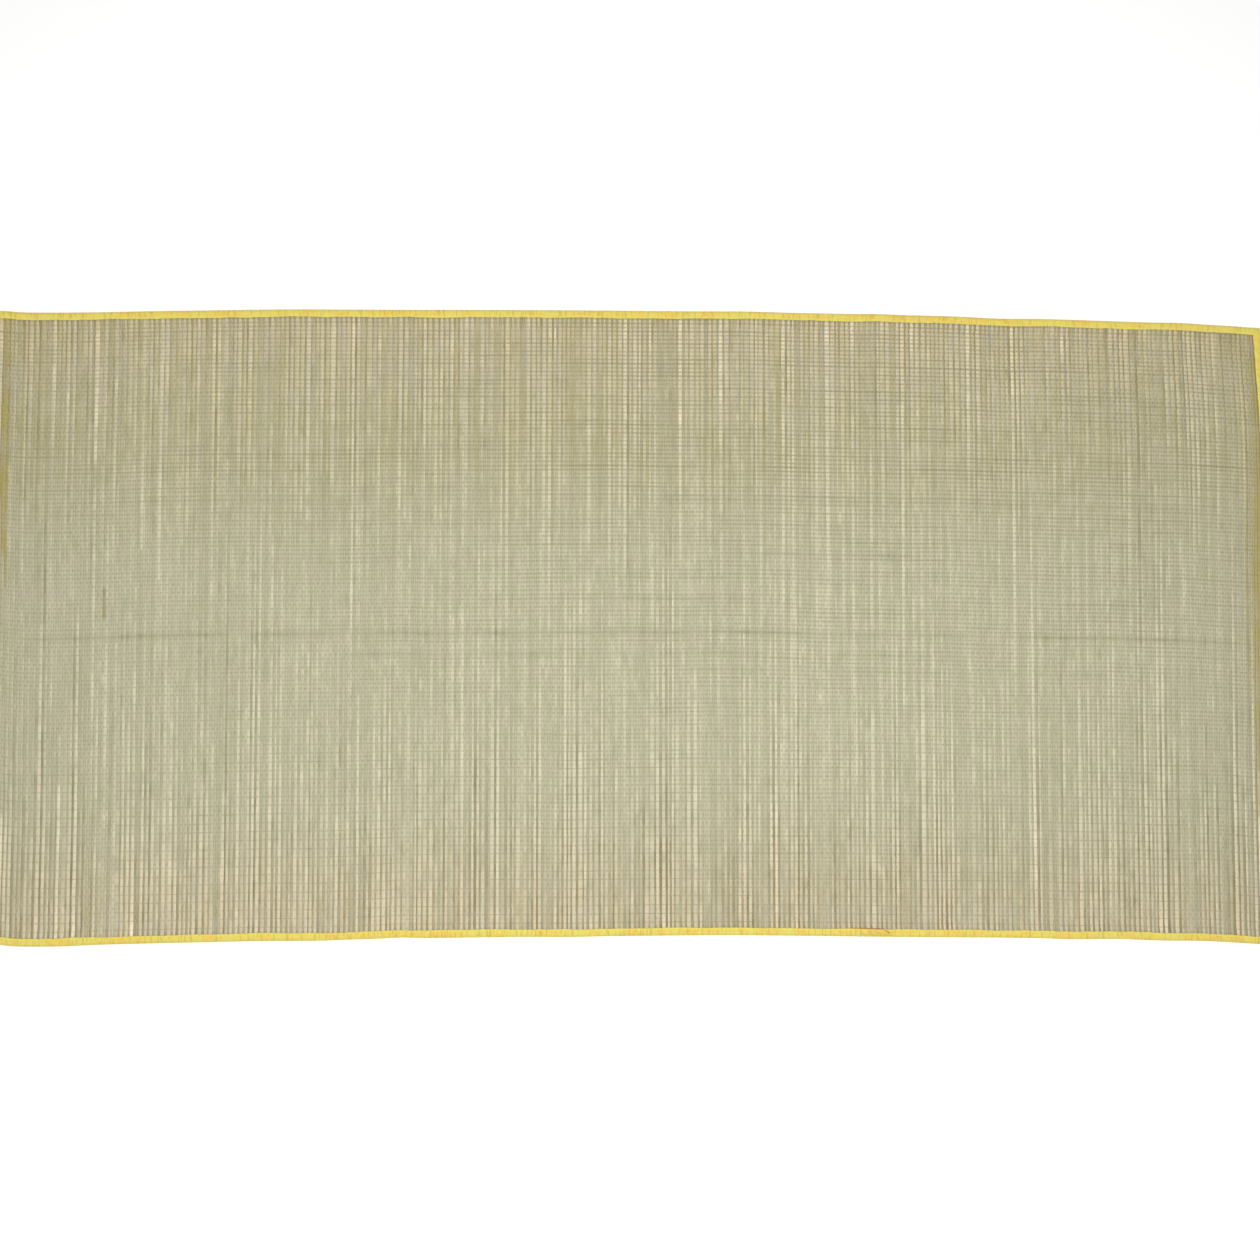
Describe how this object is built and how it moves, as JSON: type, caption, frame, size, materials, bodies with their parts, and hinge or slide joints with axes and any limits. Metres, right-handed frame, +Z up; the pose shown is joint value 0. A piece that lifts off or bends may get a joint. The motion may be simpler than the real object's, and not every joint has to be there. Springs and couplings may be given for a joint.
{
  "type": "straw beach mat",
  "caption": "Thin oblong mat of woven straw with a yellow cloth tape sewn round its edge, laid out flat to sit or lie on.",
  "frame": {"origin": "middle of the outline's box, on the surface the mat lies on", "axes": "+X along the mat's length, the way the warp threads run; +Y across it, the way the straws run; +Z up from the face shown"},
  "size_m": [1.8196, 0.8997, 0.0053],
  "materials": {
    "straw": "dried straw, woven, dull with a faint gloss along each stem",
    "tape": "yellow cotton tape, folded and sewn, dull"
  },
  "bodies": {
    "root": {"straw_panel": "straw", "edge_tape": "tape"}
  },
  "joints": []
}
